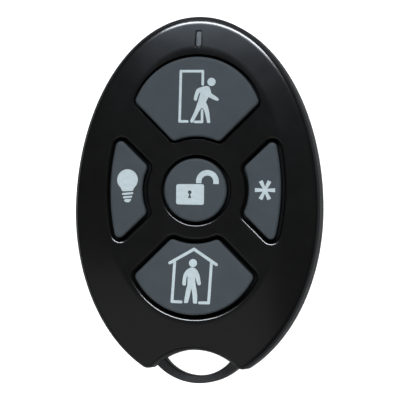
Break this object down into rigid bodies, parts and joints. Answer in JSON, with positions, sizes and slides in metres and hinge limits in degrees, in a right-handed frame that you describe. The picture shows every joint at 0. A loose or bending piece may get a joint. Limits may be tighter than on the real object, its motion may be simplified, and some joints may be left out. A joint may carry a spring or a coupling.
{
  "type": "alarm key fob",
  "caption": "Egg-shaped alarm key fob with gloss front cover, soft function keys round a central disarm key, lamp window and a moulded key-ring loop.",
  "frame": {"origin": "middle of the bounding rectangle, on the back face that the fob lies on", "axes": "+Z out of the side with the keys, +Y towards the lamp end, +X to the right seen from the front"},
  "size_m": [0.0434, 0.0646, 0.0129],
  "materials": {
    "front_plastic": "gloss black moulding",
    "rear_plastic": "fine matt texture",
    "key_silicone": "matt silicone",
    "sheet_silicone": "matt silicone",
    "pipe_acrylic": "frosted clear",
    "plunger_plastic": "moulded",
    "dome_steel": "bright spring steel",
    "switch_plastic": "moulded",
    "switch_steel": "stamped",
    "board_laminate": "green solder mask",
    "antenna_copper": "etched track",
    "lamp_resin": "clear resin over a white base",
    "chip_resin": "moulded resin",
    "crystal_steel": "welded can",
    "capacitor_ceramic": "fired ceramic",
    "resistor_ceramic": "glazed ceramic",
    "cell_steel": "nickel plate",
    "seal_nylon": "moulded ring",
    "clip_steel": "tinned spring strip",
    "contact_brass": "plated",
    "screw_steel": "zinc plate"
  },
  "bodies": {
    "fob": {"front_cover": "front_plastic", "rear_cover": "rear_plastic", "light_pipe": "pipe_acrylic", "keypad_sheet": "sheet_silicone", "away_dome": "dome_steel", "stay_dome": "dome_steel", "disarm_dome": "dome_steel", "light_dome": "dome_steel", "star_dome": "dome_steel", "switch_bases": "switch_plastic", "switch_covers": "switch_steel", "circuit_board": "board_laminate", "antenna_loop": "antenna_copper", "status_lamp": "lamp_resin", "radio_chip": "chip_resin", "crystal": "crystal_steel", "chip_capacitors": "capacitor_ceramic", "chip_resistors": "resistor_ceramic", "cell_can": "cell_steel", "cell_seal": "seal_nylon", "cell_cap": "cell_steel", "positive_clip": "clip_steel", "negative_contact": "contact_brass", "case_screws": "screw_steel"},
    "away_button": {"away_key": "key_silicone", "away_plunger": "plunger_plastic"},
    "stay_button": {"stay_key": "key_silicone", "stay_plunger": "plunger_plastic"},
    "disarm_button": {"disarm_key": "key_silicone", "disarm_plunger": "plunger_plastic"},
    "light_button": {"light_key": "key_silicone", "light_plunger": "plunger_plastic"},
    "star_button": {"star_key": "key_silicone", "star_plunger": "plunger_plastic"}
  },
  "joints": [
    {"name": "away_press", "type": "slide", "parent": "fob", "child": "away_button", "axis": [0, 0, -1], "range_m": [0, 0.00035], "stiffness_N_per_m": 3000, "deforming": ["away_dome"]},
    {"name": "stay_press", "type": "slide", "parent": "fob", "child": "stay_button", "axis": [0, 0, -1], "range_m": [0, 0.00035], "stiffness_N_per_m": 3000, "deforming": ["stay_dome"]},
    {"name": "disarm_press", "type": "slide", "parent": "fob", "child": "disarm_button", "axis": [0, 0, -1], "range_m": [0, 0.00035], "stiffness_N_per_m": 3000, "deforming": ["disarm_dome"]},
    {"name": "light_press", "type": "slide", "parent": "fob", "child": "light_button", "axis": [0, 0, -1], "range_m": [0, 0.00035], "stiffness_N_per_m": 3000, "deforming": ["light_dome"]},
    {"name": "star_press", "type": "slide", "parent": "fob", "child": "star_button", "axis": [0, 0, -1], "range_m": [0, 0.00035], "stiffness_N_per_m": 3000, "deforming": ["star_dome"]}
  ]
}
